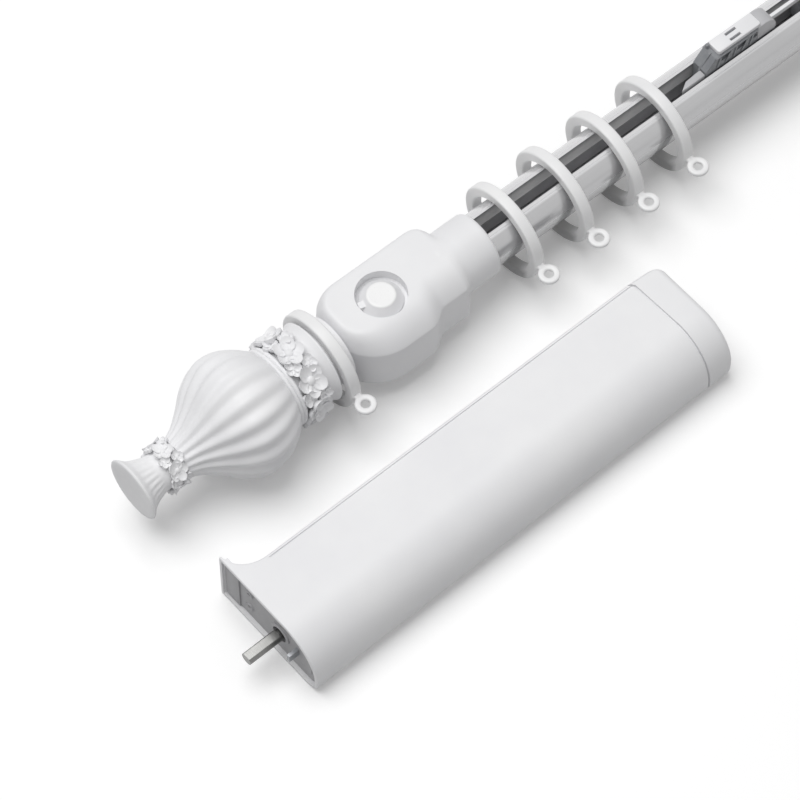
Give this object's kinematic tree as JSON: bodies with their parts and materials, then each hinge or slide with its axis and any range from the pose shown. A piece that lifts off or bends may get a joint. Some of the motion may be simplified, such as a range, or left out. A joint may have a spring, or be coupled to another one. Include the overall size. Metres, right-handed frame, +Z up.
{
  "type": "electric curtain track",
  "caption": "Slotted round rod with belt drive housings, belt carrier, eyelet rings and fluted flower finials, with its detached drive motor beside it.",
  "frame": {"origin": "centre of the mouth of the motor socket, in the flat underside of the drive housing", "axes": "+X along the rod from the drive housing to the idler housing, +Z up, the way the rod's slot faces, +Y away from the detached motor"},
  "size_m": [1.093, 0.1469, 0.0606],
  "materials": {
    "white_abs": "satin moulded",
    "white_resin": "matt cast",
    "white_nylon": "satin moulded",
    "anodised_aluminium": "satin anodised",
    "belt_rubber": "matt",
    "steel": "ground",
    "bearing_bronze": "sintered",
    "grey_acetal": "moulded",
    "wheel_nylon": "moulded",
    "grey_abs": "moulded",
    "motor_metal": "zinc plated",
    "circuit_board": "coated"
  },
  "bodies": {
    "root": {"rod": "anodised_aluminium", "belt": "belt_rubber", "drive_body": "white_abs", "drive_cover": "white_abs", "drive_bearing_lower": "bearing_bronze", "drive_bearing_upper": "bearing_bronze", "drive_screws": "steel", "idler_body": "white_abs", "idler_cover": "white_abs", "idler_axle": "steel", "idler_screws": "steel", "near_finial_foot": "white_resin", "near_finial_bulb": "white_resin", "near_finial_neck": "white_resin", "near_finial_stud": "steel", "near_small_garland": "white_resin", "near_large_garland": "white_resin", "far_finial_foot": "white_resin", "far_finial_bulb": "white_resin", "far_finial_neck": "white_resin", "far_finial_stud": "steel", "far_small_garland": "white_resin", "far_large_garland": "white_resin"},
    "drive_pulley": {"drive_pulley": "grey_acetal", "drive_hub_cap": "white_abs"},
    "idler_pulley": {"idler_pulley": "grey_acetal"},
    "carrier": {"carrier_body": "grey_acetal", "carrier_plate": "white_abs", "carrier_arm": "white_abs", "belt_clamp": "white_abs", "carrier_link": "white_abs", "trailer_body": "grey_acetal"},
    "front_wheels": {"front_wheels": "wheel_nylon"},
    "rear_wheels": {"rear_wheels": "wheel_nylon"},
    "trailer_wheels": {"trailer_wheels": "wheel_nylon"},
    "ring_0": {"ring_0": "white_nylon", "ring_0_eyelet": "white_nylon"},
    "ring_1": {"ring_1": "white_nylon", "ring_1_eyelet": "white_nylon"},
    "ring_2": {"ring_2": "white_nylon", "ring_2_eyelet": "white_nylon"},
    "ring_3": {"ring_3": "white_nylon", "ring_3_eyelet": "white_nylon"},
    "ring_4": {"ring_4": "white_nylon", "ring_4_eyelet": "white_nylon"},
    "motor": {"motor_case": "white_abs", "motor_end_cap": "white_abs", "motor_face_plate": "grey_abs", "motor_latch": "steel", "motor_gearbox": "motor_metal", "motor_can": "motor_metal", "motor_board": "circuit_board"},
    "motor_shaft": {"motor_shaft": "steel"}
  },
  "joints": [
    {"name": "carrier_slide", "type": "slide", "parent": "root", "child": "carrier", "axis": [1, 0, 0], "range_m": [0, 0.46]},
    {"name": "drive_spin", "type": "hinge", "parent": "root", "child": "drive_pulley", "pos_m": [0, 0, 0.0175], "axis": [0, 0, 1], "range_deg": [-5, 3960]},
    {"name": "idler_spin", "type": "hinge", "parent": "root", "child": "idler_pulley", "pos_m": [0.8, 0, 0.0175], "axis": [0, 0, 1], "range_deg": [-5, 3960]},
    {"name": "front_wheels_spin", "type": "hinge", "parent": "carrier", "child": "front_wheels", "pos_m": [0.222, 0, 0.0115], "axis": [0, 1, 0], "range_deg": [-5, 7550]},
    {"name": "rear_wheels_spin", "type": "hinge", "parent": "carrier", "child": "rear_wheels", "pos_m": [0.2, 0, 0.0115], "axis": [0, 1, 0], "range_deg": [-5, 7550]},
    {"name": "trailer_wheels_spin", "type": "hinge", "parent": "carrier", "child": "trailer_wheels", "pos_m": [0.263, 0, 0.0115], "axis": [0, 1, 0], "range_deg": [-5, 7550]},
    {"name": "ring_0_swing", "type": "hinge", "parent": "root", "child": "ring_0", "pos_m": [-0.0345, 0, 0.0175], "axis": [1, 0, 0], "continuous": true},
    {"name": "ring_1_slide", "type": "slide", "parent": "root", "child": "ring_1", "axis": [1, 0, 0], "range_m": [-0.0115, 0.0115]},
    {"name": "ring_2_slide", "type": "slide", "parent": "root", "child": "ring_2", "axis": [1, 0, 0], "range_m": [-0.0115, 0.0115]},
    {"name": "ring_3_slide", "type": "slide", "parent": "root", "child": "ring_3", "axis": [1, 0, 0], "range_m": [-0.0115, 0.0115]},
    {"name": "ring_4_slide", "type": "slide", "parent": "root", "child": "ring_4", "axis": [1, 0, 0], "range_m": [-0.0115, 0.009]},
    {"name": "motor_lift", "type": "slide", "parent": "root", "child": "motor", "axis": [0, 0, 1], "range_m": [0, 0.12]},
    {"name": "motor_shaft_spin", "type": "hinge", "parent": "motor", "child": "motor_shaft", "pos_m": [-0.1335, -0.0904, 0.0037], "axis": [0.9999, 0.0157, 0], "continuous": true}
  ],
  "couplings": [
    {"joint": "drive_spin", "follows": "carrier_slide", "rad_per_m": 149.6},
    {"joint": "idler_spin", "follows": "carrier_slide", "rad_per_m": 149.6},
    {"joint": "front_wheels_spin", "follows": "carrier_slide", "rad_per_m": 285.71},
    {"joint": "rear_wheels_spin", "follows": "carrier_slide", "rad_per_m": 285.71},
    {"joint": "trailer_wheels_spin", "follows": "carrier_slide", "rad_per_m": 285.71}
  ]
}
